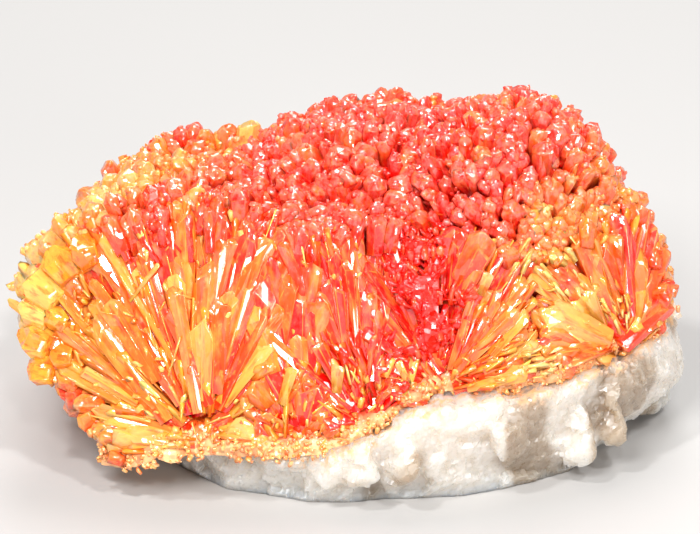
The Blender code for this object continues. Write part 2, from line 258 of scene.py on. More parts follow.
rng = default_rng(3)
lump = remeshed("calcite_matrix", ROCK_GRAIN, "calcite_lump")
points, normals = points_of(lump.data), normals_of(lump.data)
foot = points[:, 2] < FOOT_HEIGHT
broken = points
for size, most in BLOCK_SIZES:
    broken = cleave(broken, normals, rng, size, most)
points = points + (broken - points) * smoothstep(0.0, BROKEN_ABOVE, points[:, 2])[:, None]
points[foot, 2] = 0.0
points[:, 2] = np.maximum(points[:, 2], 0.0)
put_points(lump.data, points)
below_bed = bed_height(points[:, 0]) - points[:, 2]
stain = 1.0 - smoothstep(0.0, STAIN_DEPTH + STAIN_WANDER * noise_at(points, STAIN_LUMPS), below_bed)
clouded = smoothstep(*CLOUDED_FROM, points[:, 0]) * (1.0 - smoothstep(*CLOUDED_TO, points[:, 0]))
clouds = noise_at(points, CLOUD_LUMPS, (4.0, 9.0, 2.0)) - CLOUD_LEVEL + CLOUDED_MORE * clouded
cloud = CLOUD_STRENGTH * smoothstep(0.0, CLOUD_EDGE, clouds)
add_readings(lump.data, lie=points, stain=stain, cloud=cloud)
lump.data.materials.append(calcite_material())
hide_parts("calcite_matrix")
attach(lump, "root")

# ---- The crystals' heart
# The solid middle of the orpiment, where the crystals grew into one another round the fans' roots. Only
# its deep red shows, in the gaps between crystals. That red is the crystals' own colour made deeper: painted
# shade in the gaps.

FRONT, INSIDE, BACK = -1, 0, 1
BREAK_OUT = {FRONT: 11.3, BACK: 12.2}
BREAK_LEAN = {FRONT: 0.40, BACK: 0.24}
BREAK_SWEEP = {FRONT: 0.043, BACK: 0.03}
BREAK_ENDS, BREAK_FOOT = (-8.0, 5.0), 4.0
HOLLOW_MIDDLE, HOLLOW_SIZE, HOLLOW_DEPTH = (4.2, 11.0), (2.4, 4.5), 3.0
FANS = (
    # root x, y, z; reach to the left, to the right, in depth and up; which broken face it is laid open on
    ((-8.4, 0.0, 4.0), (13.6, 13.4, 14.0, 13.8), FRONT),
    ((-3.0, 0.0, 3.3), (13.0, 13.0, 13.5, 12.4), FRONT),
    ((0.9, 0.0, 4.7), (12.5, 12.5, 13.0, 12.0), FRONT),
    ((5.1, 0.0, 6.2), (9.0, 11.0, 11.0, 9.6), FRONT),
    ((16.0, 0.0, 6.8), (9.0, 2.6, 9.0, 8.6), FRONT),
    ((-9.5, 1.6, 3.6), (9.6, 10.0, 9.0, 12.4), INSIDE),
    ((1.0, 1.4, 5.0), (12.0, 12.0, 12.0, 14.0), INSIDE),
    ((9.8, -0.5, 6.5), (12.0, 7.4, 12.0, 13.8), INSIDE),
    ((-7.6, 0.0, 3.4), (12.0, 10.0, 10.0, 12.0), BACK),
    ((2.6, 0.0, 4.6), (12.0, 12.0, 12.0, 13.4), BACK),
    ((11.2, 0.0, 6.4), (10.0, 6.4, 10.0, 11.6), BACK),
)
SHORTEST, LOW_ANGLE, HIGH_ANGLE = 0.45, math.radians(-12), math.radians(33)
ROOT_BEHIND_BREAK = 0.3
HEART_GRAIN, HEART_SMOOTHING, HEART_GAP, HEART_SUNK = 0.35, 40, 0.12, 0.4
HEART_BEHIND, HEART_BEHIND_HEADS = 0.7, -0.2
HEART_LUMPS, HEART_LUMP_SIZE = 0.3, 0.8
WORN_ABOVE_BED, HEADS_BEHIND_BREAK, PEACH_ABOVE_BED = (0.6, 2.2), (0.8, 2.4), (0.4, 1.8)
# The heart's warmth is scaled down to redden it: painted shade in the gaps where it shows.
HEART_SHADE_REDDER, LEFT_END_WARMER, LEFT_END = 0.55, 0.3, (-12.0, -17.0)
DARK_RED, PEACH = (1.0, 0.35, 0.30), (1.0, 0.62, 0.28)

# Warmth runs from deep red at 0 to pale yellow at 1; each place pulls what is near it to its own.
WARMTH = (
    (0.00, (0.90, 0.006, 0.003)),
    (0.20, (0.96, 0.028, 0.006)),
    (0.40, (0.99, 0.085, 0.010)),
    (0.60, (1.00, 0.23, 0.015)),
    (0.80, (1.00, 0.44, 0.030)),
    (1.00, (1.00, 0.70, 0.18)),
)
USUAL_WARMTH, USUAL_WEIGHT = 0.46, 0.10
PLACES = (
    # x, y, z; reach; warmth
    ((-18.0, -3.0, 11.5), 3.5, 0.95),
    ((-16.5, -6.0, 6.5), 4.0, 0.82),
    ((-11.5, -9.5, 9.5), 4.5, 0.66),
    ((-8.5, -8.0, 14.0), 4.0, 0.60),
    ((-8.4, -11.0, 4.5), 3.0, 1.00),
    ((-14.2, -9.8, 2.4), 3.0, 0.90),
    ((-3.5, -8.5, 12.0), 3.5, 0.52),
    ((-1.5, -10.5, 5.0), 2.0, 0.74),
    ((3.6, -7.5, 11.5), 3.8, 0.00),
    ((1.2, -10.0, 7.2), 2.6, 0.10),
    ((0.9, -10.6, 5.7), 1.3, -0.30),
    ((1.7, -8.6, 10.6), 1.8, -0.10),
    ((9.9, -9.0, 6.8), 3.0, 0.76),
    ((8.2, -7.5, 12.0), 2.2, 0.54),
    ((12.2, -6.5, 11.2), 3.8, 0.94),
    ((14.0, -6.5, 9.0), 2.5, 1.00),
    ((14.8, -2.0, 14.6), 3.5, 0.72),
    ((15.7, -4.5, 11.8), 2.0, 0.34),
    ((18.6, -2.0, 9.0), 3.0, 0.82),
    ((3.0, -1.0, 17.5), 6.0, 0.20),
    ((8.0, 0.0, 18.5), 4.0, 0.20),
    ((-19.2, -4.0, 10.5), 1.8, 1.60),
    ((-5.8, -3.0, 16.0), 4.5, 0.34),
    ((-11.5, -6.0, 14.4), 2.2, 0.38),
    ((-5.8, -7.0, 15.2), 2.2, 0.36),
    ((-15.5, 4.0, 10.5), 4.5, 0.86),
    ((-16.0, 0.0, 14.0), 2.5, 1.20),
    ((-10.8, 2.3, 15.2), 2.4, 0.86),
    ((-6.5, 8.7, 14.4), 1.4, 0.80),
    ((-2.2, -1.3, 17.5), 0.6, 0.95),
    ((9.4, 1.0, 19.8), 1.0, 0.95),
    ((7.6, 4.0, 19.6), 1.4, 0.85),
    ((5.4, -3.0, 18.3), 0.6, 0.70),
    ((11.0, -4.7, 15.6), 1.5, 0.78),
)


def break_y(side, x, z):
    """Where a broken face lies in depth. The front one has a hollow right of its middle."""
    low, high = BREAK_ENDS
    sweep = BREAK_SWEEP[side] * (np.maximum(0.0, x - high) ** 2 + np.maximum(0.0, low - x) ** 2)
    out = BREAK_OUT[side] - sweep - BREAK_LEAN[side] * (z - BREAK_FOOT)
    if side == FRONT:
        across, up = (x - HOLLOW_MIDDLE[0]) / HOLLOW_SIZE[0], (z - HOLLOW_MIDDLE[1]) / HOLLOW_SIZE[1]
        out = out - HOLLOW_DEPTH * np.exp(-across * across - up * up)
    return side * out


def root_of(fan):
    """A fan's root; one on a broken face has its depth from that face."""
    (x, y, z), _, side = FANS[fan]
    if side != INSIDE:
        y = break_y(side, x, z) - ROOT_BEHIND_BREAK * side
    return np.array((x, y, z))


def reach_of(fan, directions):
    """How far a fan's crystals grow in each direction: those that start low stay short."""
    left, right, depth, up = FANS[fan][1]
    x, y, z = directions.T
    elevation = np.arcsin(np.clip(z, -1.0, 1.0))
    x, y, z = x / np.where(x < 0.0, left, right), y / depth, z / up
    full = 1.0 / np.sqrt(x * x + y * y + z * z)
    return full * (SHORTEST + (1.0 - SHORTEST) * smoothstep(LOW_ANGLE, HIGH_ANGLE, elevation))


def growth_share(fan, points):
    """Distance from a fan's root as a share of its reach."""
    away = points - root_of(fan)
    return np.linalg.norm(away, axis=1) / reach_of(fan, unit(away))


def depth_inside_breaks(points):
    """How far points are behind the nearer of the two broken faces."""
    x, y, z = np.moveaxis(points, -1, 0)
    return np.minimum(y - break_y(FRONT, x, z), break_y(BACK, x, z) - y)


def warmth_at(points):
    """How red or yellow the crystals are at each point."""
    total, weights = np.full(len(points), USUAL_WEIGHT * USUAL_WARMTH), np.full(len(points), USUAL_WEIGHT)
    for place, reach, warmth in PLACES:
        weight = np.exp(-np.sum((points - place) ** 2, axis=1) / reach**2)
        total += weight * warmth
        weights += weight
    return total / weights


def colour_of(warmth):
    """The colour of each warmth, as rows of red, green and blue."""
    steps = [step for step, _ in WARMTH]
    colours = np.array([colour for _, colour in WARMTH])
    return np.stack([np.interp(warmth, steps, colours[:, part]) for part in range(3)], axis=1)


def blended(first, second, share):
    return first * (1.0 - share) + np.array(second) * share


def heart_material():
    made, tree, shader = blank("orpiment_heart")
    lie = reading(tree, "lie", "Vector")
    grain = noise_over(tree, lie, 1.6, detail=4.0)
    darker = graded(tree, grain, 0.35, 0.7, 0.0, 0.6)
    feed(tree, shader, {
        "Base Color": mixed(tree, darker, reading(tree, "tint"), DARK_RED, "MULTIPLY"),
        "Roughness": graded(tree, grain, 0.3, 0.7, 0.15, 0.45),
        "Normal": small_faces(tree, lie, 3.0, (1.0, 1.0, 1.0), 0.5),
        "IOR": 1.8,
    })
    return made


def keep_largest_lump(mesh):
    """Clears away the scraps that a remesh leaves loose."""
    shape = bmesh.new()
    shape.from_mesh(mesh)
    waiting, lumps = set(shape.verts), []
    while waiting:
        lump = [waiting.pop()]
        for vert in lump:
            beside = {edge.other_vert(vert) for edge in vert.link_edges} & waiting
            waiting -= beside
            lump += beside
        lumps.append(lump)
    lumps.sort(key=len)
    loose = [vert for lump in lumps[:-1] for vert in lump]
    bmesh.ops.delete(shape, geom=loose, context="VERTS")
    shape.to_mesh(mesh)
    shape.free()


heart = remeshed("orpiment_crystals", HEART_GRAIN, "crystal_heart")
keep_largest_lump(heart.data)
points, normals = points_of(heart.data), normals_of(heart.data)
worn = heart.modifiers.new("worn_down", "SMOOTH")
worn.factor, worn.iterations = 0.8, HEART_SMOOTHING
graph = bpy.context.evaluated_depsgraph_get()
smooth = points_of(heart.evaluated_get(graph).data)
heart.modifiers.clear()
above = points[:, 2] - bed_height(points[:, 0])
higher = smoothstep(*WORN_ABOVE_BED, above)[:, None]
lumps = noise_at(points, HEART_LUMP_SIZE)[:, None]
under_heads = smoothstep(*HEADS_BEHIND_BREAK, depth_inside_breaks(points))[:, None]
behind = HEART_BEHIND + (HEART_BEHIND_HEADS - HEART_BEHIND) * under_heads
points = points + (smooth - points) * higher - normals * (behind * higher + HEART_GAP)
points = points + normals * HEART_LUMPS * lumps
underside = (above < 0.5) & (normals[:, 2] < -0.4)
points[underside, 2] -= HEART_SUNK
put_points(heart.data, points)
near_crust = 1.0 - smoothstep(*PEACH_ABOVE_BED, above)[:, None]
# Redder than the crystals at the same place: painted shade in the gaps.
warmth = warmth_at(points) * (HEART_SHADE_REDDER + LEFT_END_WARMER * smoothstep(*LEFT_END, points[:, 0]))
add_readings(heart.data, tint=blended(colour_of(warmth), PEACH, near_crust), lie=points)
heart.data.materials.append(heart_material())
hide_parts("orpiment_crystals")
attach(heart, "root")

# ---- The heads of the fans
# The free ends of the crystals over the top and the ends of the specimen: stubby orpiment prisms, side by
# side, each pointing away from its fan's root and closed by slanting faces.

HEAD_SIZES = (
    # spacing, half widths, height as a share of reach, warmer by, edges eased by
    (1.16, (0.52, 0.86), (0.96, 1.02), 0.0, 0.12),
    (0.90, (0.32, 0.56), (0.92, 0.98), -0.04, 0.0),
)
HEAD_FLATNESS, HEAD_FROM, HEAD_LEAN = (0.75, 1.0), 0.80, 0.40
HEAD_TIERS = ((3, (0.15, 0.50), (-0.15, 0.0)), (5, (0.70, 1.00), (0.12, 0.36)))
STUD_TIERS = ((3, (0.2, 0.8), (-0.3, 0.0)),)
RIM_SPACING, RIM_WANDER, RIM_TURN = 0.8, 0.4, 1.75
RIM_DEPTH, RIM_HEIGHT, RIM_INSET = 1.5, (0.90, 0.99), (0.05, 0.9)
STUD_WIDTH, STUD_HEIGHT, STUD_LEAN, STUD_OUT, STUD_DOWN = (0.14, 0.32), (0.04, 0.22), 0.55, 0.84, 0.90
BLADES_REACH, COVERED_WITHIN, LEAST_KEPT, WHOLE = 0.86, 0.93, 0.5, 0.99
HEADS_ABOVE_BED, HEADS_BEHIND, HEAD_WANDER, REACH_SHARES = 0.6, 0.1, 0.3, np.arange(0.3, 1.001, 0.02)
# Each head's foot is redder than its tip: painted shade in the gaps between heads.
HEAD_END, HEAD_TAPER, WARMTH_SPREAD, FOOT_PAINTED_SHADE = (0.9, 1.4), 0.75, 0.08, 0.3
LARGER_TO_LEFT, LARGER_BY, BURIED = (-13.0, -17.0), 0.5, 0.3
ODD_SHARE, ODD_WARMER = 0.04, 0.35
UNEVEN_SIDES, FOOT_TOP, EASED_FACE, MAP_REACH = (0.82, 1.08), 0.01, 0.30, 0.46
TRAITS = "foot tip facing width flatness end roll taper foot_tint tip_tint".split()
LONGEST_END, END_RAMP, PATTERN_SPREAD, MOST_SHADE = 0.6, (0.85, 1.5), 60.0, 0.7
AMBER, PINK_FROST = (1.0, 0.66, 0.10), (1.0, 0.60, 0.54)
RED_STREAK, RED_FACE = (1.0, 0.25, 0.15), (1.0, 0.35, 0.25)


def cut_face(shape, point, facing):
    """Cuts a shape by a plane and closes the cut with one face."""
    everything = shape.verts[:] + shape.edges[:] + shape.faces[:]
    cut = bmesh.ops.bisect_plane(shape, geom=everything, plane_co=point, plane_no=facing, clear_outer=True)
    painted_rim_light = [part for part in cut["geom_cut"] if isinstance(part, bmesh.types.BMEdge)]
    bmesh.ops.edgeloop_fill(shape, edges=painted_rim_light)


def crystal_form(rng, sides, tiers, easing=0.0):
    """One crystal to copy, two units wide: its shaft runs from 0 to 1 up Z and its end from 1 to 2. A tier
    is a ring of end faces: how many, how far they tilt, and where they cross the axis, above 2.
    It returns its points, its faces, which of them are eased edges, and each corner's place on a map."""
    shape = bmesh.new()
    bmesh.ops.create_cone(shape, segments=sides, radius1=1.0, radius2=1.0, depth=2.0, cap_ends=True)
    bmesh.ops.translate(shape, verts=shape.verts, vec=(0.0, 0.0, 1.0))
    uneven = rng.uniform(*UNEVEN_SIDES, sides)
    for vert in shape.verts:
        side = round(math.atan2(vert.co.y, vert.co.x) / math.tau * sides) % sides
        vert.co.x *= uneven[side]
        vert.co.y *= uneven[side]
    for faces, tilts, crossings in tiers:
        start = rng.uniform(0.0, math.tau)
        for number in range(faces):
            azimuth = start + math.tau * (number + rng.uniform(-0.25, 0.25)) / faces
            tilt = rng.uniform(*tilts)
            across = math.sin(tilt)
            facing = (across * math.cos(azimuth), across * math.sin(azimuth), math.cos(tilt))
            cut_face(shape, (0.0, 0.0, 2.0 + rng.uniform(*crossings)), facing)
    if easing > 0.0:
        edges = [edge for edge in shape.edges if any(vert.co.z > FOOT_TOP for vert in edge.verts)]
        bmesh.ops.bevel(shape, geom=edges, offset=easing, segments=1, affect="EDGES", clamp_overlap=True)
    bmesh.ops.recalc_face_normals(shape, faces=shape.faces)
    shape.verts.index_update()
    points = np.array([vert.co for vert in shape.verts])
    faces = [[vert.index for vert in face.verts] for face in shape.faces]
    areas = np.array([face.calc_area() for face in shape.faces])
    eased = (areas < EASED_FACE * np.sort(areas)[-sides]) & (easing > 0.0)
    down = (2.0 - points[:, 2]) + 0.5 * np.hypot(points[:, 0], points[:, 1])
    turn = np.arctan2(points[:, 1], points[:, 0])
    spread = MAP_REACH * down / down.max()
    flat_map = np.stack([0.5 + spread * np.cos(turn), 0.5 + spread * np.sin(turn)], axis=1)
    corners = np.concatenate([flat_map[face] for face in faces])
    at_foot = np.concatenate([[all(points[face, 2] < FOOT_TOP)] * len(face) for face in faces])
    corners[at_foot] = 0.03 + 0.05 * corners[at_foot]
    shape.free()
    return points, faces, eased, corners


def grow(name, forms, paint, seed, **crystals):
    """One mesh of many crystals, each a copy of one of the forms, laid from its foot to its tip. Each trait
    has a row for every crystal. An end is how long its pointed part is, a taper how slim its foot."""
    rng = default_rng(seed)
    count = len(crystals["foot"])
    chosen = rng.integers(len(forms), size=count)
    per_row = math.ceil(math.sqrt(count))
    parts = []
    made = 0
    for kind, (form, faces, eased, flat_map) in enumerate(forms):
        these = np.flatnonzero(chosen == kind)
        many = len(these)
        if not many:
            continue
        foot, tip, facing, width, flatness, end, roll, taper, foot_tint, tip_tint = (
            crystals[trait][these].reshape(many, -1) for trait in TRAITS
        )
        length = np.linalg.norm(tip - foot, axis=1)[:, None]
        along = (tip - foot) / length
        across = unit(np.cross(facing, along))
        through = np.cross(along, across)
        across, through = (
            across * np.cos(roll) + through * np.sin(roll),
            through * np.cos(roll) - across * np.sin(roll),
        )
        end = np.minimum(end, LONGEST_END * length)
        share = np.clip(form[:, 2], 0.0, 1.0)
        slim = taper + (1.0 - taper) * share
        x = width * form[:, 0] * slim
        y = width * flatness * form[:, 1] * slim
        z = (length - end) * share + end * np.clip(form[:, 2] - 1.0, 0.0, 1.0)
        placed = foot[:, None] + across[:, None] * x[..., None] + through[:, None] * y[..., None]
        placed = placed + along[:, None] * z[..., None]
        run = (z / length)[..., None]
        tint = blended(foot_tint[:, None], tip_tint[:, None], run)
        lie = np.stack([x, y, z], axis=2) + rng.uniform(0.0, PATTERN_SPREAD, (many, 1, 3))
        at_end = np.broadcast_to(smoothstep(*END_RAMP, form[:, 2]), x.shape)
        order = np.concatenate(faces) + made + len(form) * np.arange(many)[:, None]
        cell = np.stack([these % per_row, these // per_row], axis=1)
        corners = (flat_map + cell[:, None]) / per_row
        sizes = np.tile([len(face) for face in faces], many)
        # A random painted shade for each face; eased edge faces get 1, which the material paints as rim
        # light.
        shade = np.where(eased, 1.0, rng.uniform(0.0, MOST_SHADE, (many, len(faces))))
        made += len(form) * many
        parts.append((
            placed.reshape(-1, 3), tint.reshape(-1, 3), lie.reshape(-1, 3), at_end.ravel(),
            order.ravel(), corners.reshape(-1, 2), sizes, shade.ravel(),
        ))
    points, tints, lies, ends, order, corners, sizes, shades = (np.concatenate(rows) for rows in zip(*parts))
    mesh = bpy.data.meshes.new(name)
    mesh.vertices.add(len(points))
    mesh.loops.add(len(order))
    mesh.polygons.add(len(sizes))
    mesh.loops.foreach_set("vertex_index", order.astype(np.int32))
    mesh.polygons.foreach_set("loop_start", (np.cumsum(sizes) - sizes).astype(np.int32))
    put_points(mesh, points)
    mesh.update(calc_edges=True)
    flat = mesh.uv_layers.new(name="OFBake")
    flat.uv.foreach_set("vector", corners.astype(np.float32).ravel())
    add_readings(mesh, tint=tints, lie=lies, end=ends)
    add_readings(mesh, "FACE", facet=shades)
    mesh.materials.append(paint)
    piece = add_object(name, mesh)
    if any(eased.any() for _, _, eased, _ in forms):
        mesh.shade_smooth()
        piece.modifiers.new("even_shine", "WEIGHTED_NORMAL").weight = 90
    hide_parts("orpiment_crystals")
    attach(piece, "root")


def crystal_material(
    name, faces, stretch, rough=0.03, frost=0.0, depth=0.0, clear=0.0, tilt=0.30, cloudy=0.55
):
    """Orpiment: clear to cloudy resin-like crystal, streaked along its length, with a bright hard shine.
    Faces is how many small flat faces there are to the mm, stretch how drawn out they are along the
    crystal, and tilt how far they lean. Frost is how much of the end is frosted, depth how far light wanders
    inside, in mm, clear the share that passes straight through, and cloudy how yellow the veils are."""
    made, tree, shader = blank(name)
    lie = reading(tree, "lie", "Vector")
    streaks = noise_over(tree, lie, 3.2, (1.0, 1.0, stretch))
    veils = noise_over(tree, lie, 1.3, (1.0, 1.0, 0.4), detail=5.0)
    flecks = noise_over(tree, lie, 3.6, (1.0, 1.0, 0.6))
    facet = reading(tree, "facet", "Fac")
    tint = reading(tree, "tint")
    lighter = mixed(tree, cloudy, tint, AMBER)
    colour = mixed(tree, graded(tree, streaks, 0.50, 0.68, 0.0, 0.85), tint, RED_STREAK, "MULTIPLY")
    # Faces darkened towards red by their random share: painted shade, for light that each face refracts
    # differently.
    colour = mixed(tree, graded(tree, facet, 0.0, MOST_SHADE, 0.0, 0.6), colour, RED_FACE, "MULTIPLY")
    colour = mixed(tree, graded(tree, veils, 0.50, 0.72, 0.0, 0.9), colour, lighter)
    colour = mixed(tree, graded(tree, flecks, 0.60, 0.74, 0.0, 0.8), colour, lighter)
    # Eased edges lightened towards amber where streaks allow: painted light, the glow of thin crystal edges.
    painted_rim_light = times(tree, graded(tree, facet, 0.8, 0.95), graded(tree, streaks, 0.35, 0.65, 0.0, 0.8))
    colour = mixed(tree, painted_rim_light, colour, lighter)
    frosted = times(tree, reading(tree, "end", "Fac"), graded(tree, flecks, 0.35, 0.60, 0.0, frost))
    feed(tree, shader, {
        "Base Color": mixed(tree, frosted, colour, mixed(tree, 0.40, tint, PINK_FROST)),
        "Roughness": graded(tree, flecks, 0.35, 0.7, rough, rough + 0.12),
        "Normal": small_faces(tree, lie, faces, (1.0, 1.0, stretch), tilt),
        "IOR": 1.9, "Transmission Weight": clear, "Subsurface Weight": 1.0 if depth > 0.0 else 0.0,
        "Subsurface Radius": (1.0, 0.80, 0.50), "Subsurface Scale": depth * MM,
    })
    return made


def directions_on_sphere(count):
    """Evenly spread directions along a golden spiral."""
    steps = np.arange(count) + 0.5
    height = 1.0 - 2.0 * steps / count
    turn = steps * math.pi * (3.0 - math.sqrt(5.0))
    ring = np.sqrt(1.0 - height * height)
    return np.stack([ring * np.cos(turn), ring * np.sin(turn), height], axis=1)


def among_blades(tips):
    """Which tips are on a broken face, within the reach of the blades laid open there."""
    found = np.zeros(len(tips), bool)
    for fan, (_, _, side) in enumerate(FANS):
        if side != INSIDE:
            away = (tips - root_of(fan)) * (1.0, 0.0, 1.0)
            within = np.linalg.norm(away, axis=1) < BLADES_REACH * reach_of(fan, unit(away))
            found |= within & (tips[:, 1] * side > 0.0)
    return found


def covered(fan, tips):
    """Which of a fan's tips lie inside another fan."""
    others = [growth_share(other, tips) for other in range(len(FANS)) if other != fan]
    return np.min(others, axis=0) < COVERED_WITHIN


def near_bed(tips):
    return tips[:, 2] < bed_height(tips[:, 0]) + HEADS_ABOVE_BED


def head_tips(fan, rng, spacing, heights):
    """Tips of a fan's crystals on the top and ends of the specimen, where no other fan covers them. One
    that would pass through a broken face stops there."""
    around = directions_on_sphere(round(4.0 * math.pi * (max(FANS[fan][1]) / spacing) ** 2))
    around = unit(around + rng.normal(0.0, HEAD_WANDER * spacing / max(FANS[fan][1]), around.shape))
    away = around * (reach_of(fan, around) * rng.uniform(*heights, len(around)))[:, None]
    line = root_of(fan) + away[:, None] * REACH_SHARES[:, None]
    inside = depth_inside_breaks(line) > HEADS_BEHIND
    kept = np.max(np.where(inside, REACH_SHARES, REACH_SHARES[0]), axis=1)
    tips = root_of(fan) + away * kept[:, None]
    at_break = ~among_blades(tips) & (kept > LEAST_KEPT)
    return tips[~near_bed(tips) & np.where(kept < WHOLE, at_break, ~covered(fan, tips))]


def upright_fan(rng, half_turn, step, wander):
    """Directions spread side by side in the plane of a broken face, each a little out of place."""
    turns = np.arange(-half_turn, half_turn, step)
    turns = turns + rng.uniform(-wander, wander, len(turns)) * step
    return np.stack([np.sin(turns), np.zeros(len(turns)), np.cos(turns)], axis=1)


def studs_on(heads, seed):
    """Traits of small crystals, one grown into the end of each large one."""
    rng = default_rng(seed)
    along = unit(heads["tip"] - heads["foot"])
    out = unit(along + rng.normal(0.0, STUD_LEAN, along.shape))
    count = len(along)
    spots = heads["tip"] + (out * STUD_OUT - along * STUD_DOWN) * heads["width"][:, None]
    width = rng.uniform(*STUD_WIDTH, count)
    return dict(
        foot=spots - BURIED * out, tip=spots + out * rng.uniform(*STUD_HEIGHT, count)[:, None],
        facing=rng.normal(size=(count, 3)), width=width, flatness=rng.uniform(0.6, 1.0, count),
        end=width * rng.uniform(0.6, 1.3, count), roll=rng.uniform(0.0, math.tau, count),
        taper=np.full(count, 0.9), foot_tint=heads["foot_tint"], tip_tint=heads["tip_tint"],
    )


def rim_tips(fan, rng):
    """Tips of the crystals that close a fan along the edge of its broken face."""
    _, reach, side = FANS[fan]
    around = upright_fan(rng, RIM_TURN, RIM_SPACING / reach[3], RIM_WANDER)
    count = len(around)
    tips = root_of(fan) + around * (reach_of(fan, around) * rng.uniform(*RIM_HEIGHT, count))[:, None]
    tips[:, 1] = break_y(side, tips[:, 0], tips[:, 2]) - side * rng.uniform(*RIM_INSET, count)
    return tips[~covered(fan, tips) & ~near_bed(tips)]


rng = default_rng(11)
forms = [
    [crystal_form(rng, int(rng.choice((6, 7))), HEAD_TIERS, easing) for _ in range(12)]
    for *_, easing in HEAD_SIZES
]
stud_forms = [crystal_form(rng, 5, STUD_TIERS) for _ in range(8)]
paint = crystal_material(
    "orpiment_heads", faces=2.2, stretch=0.7, frost=0.60, depth=0.12, clear=0.15, cloudy=0.28
)
stud_paint = crystal_material("orpiment_studs", faces=1.5, stretch=1.0, frost=0.50, cloudy=0.28)
studs = []
for fan, (_, _, side) in enumerate(FANS):
    for size, (spacing, widths, heights, warmer, _) in enumerate(HEAD_SIZES):
        rng = default_rng(100 + 20 * size + fan)
        tips = head_tips(fan, rng, spacing, heights)
        painted_rim_light = rim_tips(fan, rng) if size == 0 and side != INSIDE else np.empty((0, 3))
        tips = np.concatenate([tips, painted_rim_light])
        count = len(tips)
        if not count:
            continue
        root = root_of(fan)
        foot = root + (tips - root) * HEAD_FROM + rng.normal(0.0, HEAD_LEAN, (count, 3))
        foot[count - len(painted_rim_light):, 1] -= side * RIM_DEPTH
        warmth = warmth_at(tips) + warmer + rng.normal(0.0, WARMTH_SPREAD, count)
        warmth = np.where(rng.uniform(size=count) < ODD_SHARE, warmth + ODD_WARMER, warmth)
        width = rng.uniform(*widths, count) * (1.0 + LARGER_BY * smoothstep(*LARGER_TO_LEFT, tips[:, 0]))
        heads = dict(
            foot=foot, tip=tips, facing=rng.normal(size=(count, 3)), width=width,
            flatness=rng.uniform(*HEAD_FLATNESS, count), end=width * rng.uniform(*HEAD_END, count),
            roll=rng.uniform(0.0, math.tau, count), taper=np.full(count, HEAD_TAPER),
            # Redder foot: painted shade low between the heads.
            foot_tint=colour_of(warmth - FOOT_PAINTED_SHADE), tip_tint=colour_of(warmth),
        )
        grow(f"heads_{fan + 1}_{size + 1}", forms[size], paint, 200 + 20 * size + fan, **heads)
        studs.append(studs_on(heads, 250 + 20 * size + fan))
together = {trait: np.concatenate([each[trait] for each in studs]) for trait in TRAITS}
grow("head_studs", stud_forms, stud_paint, 299, **together)

# ---- The blades laid open
# On the two broken faces the fans show side on: flattened orpiment blades, several layers deep, that
# spread from the root of each fan and stop where they meet the next fan's.

BLADE_LAYERS = (
    # spacing, half widths, flatness, behind the break, starts at, length (both as shares), warmer by
    # The deepest layer is 0.44 redder: painted shade in the gaps between the blades above it.
    (0.80, (0.60, 1.00), (0.30, 0.55), (0.30, 0.70), (0.08, 0.16), (0.72, 0.80), -0.44),
    (0.55, (0.36, 0.80), (0.25, 0.50), (-0.06, 0.30), (0.10, 0.50), (0.30, 0.55), -0.04),
    (0.26, (0.16, 0.42), (0.20, 0.50), (-0.02, 0.26), (0.08, 0.78), (0.10, 0.26), -0.02),
    (0.75, (0.03, 0.07), (0.60, 1.00), (-0.12, 0.12), (0.08, 0.75), (0.12, 0.40), 0.20),
)
BLADE_TIERS, BLADE_EASING = ((3, (0.15, 0.65), (-0.2, 0.0)), (4, (0.75, 1.0), (0.2, 0.5))), 0.10
SLIVER_TIERS = ((2, (0.3, 0.8), (-0.2, 0.0)),)
FAN_COARSENESS = {0: 1.25, 1: 1.6, 2: 1.05, 3: 0.9, 4: 1.5}
BLADE_TURN, BLADE_WANDER, BLADE_SCATTER, SCATTER_UP, FEET_DEEPER = 1.9, 0.45, 0.35, 0.6, 0.15
BLADES_ABOVE_BED, SPACINGS_ABOVE_BED = 0.25, 0.8
BLADES_CROSS, BLADES_STOP, SHORTEST_BLADE, MEET_SHARES = 1.4, (0.88, 0.95), 0.1, np.arange(0.05, 1.001, 0.025)
BLADE_WARMTH_SPREAD, BLADE_FACING_SPREAD, BLADE_FACES_UP = 0.13, 0.22, 0.55


def blades_of(fan, layer, rng):
    """Feet and tips of the blades in one layer of a fan. Each stops short of where it meets the next fan."""
    spacing, _, _, behind, starts, lengths, _ = layer
    _, reach, side = FANS[fan]
    step = spacing * FAN_COARSENESS.get(fan, 1.0) / reach[3]
    around = upright_fan(rng, BLADE_TURN, step, BLADE_WANDER)
    count = len(around)
    far = reach_of(fan, around)
    root = root_of(fan)
    beside = [other for other, (_, _, its_side) in enumerate(FANS) if its_side == side and other != fan]
    line = root + around[:, None] * (far[:, None] * MEET_SHARES)[..., None]
    gap = np.min([np.hypot(*np.moveaxis(line - root_of(n), -1, 0)[[0, 2]]) for n in beside], axis=0)
    met = gap < far[:, None] * MEET_SHARES - rng.uniform(0.0, BLADES_CROSS, (count, 1))
    reached = np.where(met.any(axis=1), MEET_SHARES[np.argmax(met, axis=1)], 1.0)
    start = rng.uniform(*starts, count)
    grown = start + rng.uniform(*lengths, count)
    stop = np.minimum(grown, reached * rng.uniform(*BLADES_STOP, count))
    good = stop > start + SHORTEST_BLADE
    feet, tips = (root + around * (far * share)[:, None] for share in (start, stop))
    feet[:, 0] += rng.normal(0.0, BLADE_SCATTER, count)
    feet[:, 2] += rng.normal(0.0, SCATTER_UP * BLADE_SCATTER, count)
    inset = rng.uniform(*behind, count)
    for spots, extra in ((feet, FEET_DEEPER), (tips, 0.0)):
        spots[:, 1] = break_y(side, spots[:, 0], spots[:, 2]) - side * (inset + extra)
    good &= tips[:, 2] > bed_height(tips[:, 0]) + BLADES_ABOVE_BED + SPACINGS_ABOVE_BED * step * reach[3]
    return feet[good], tips[good]


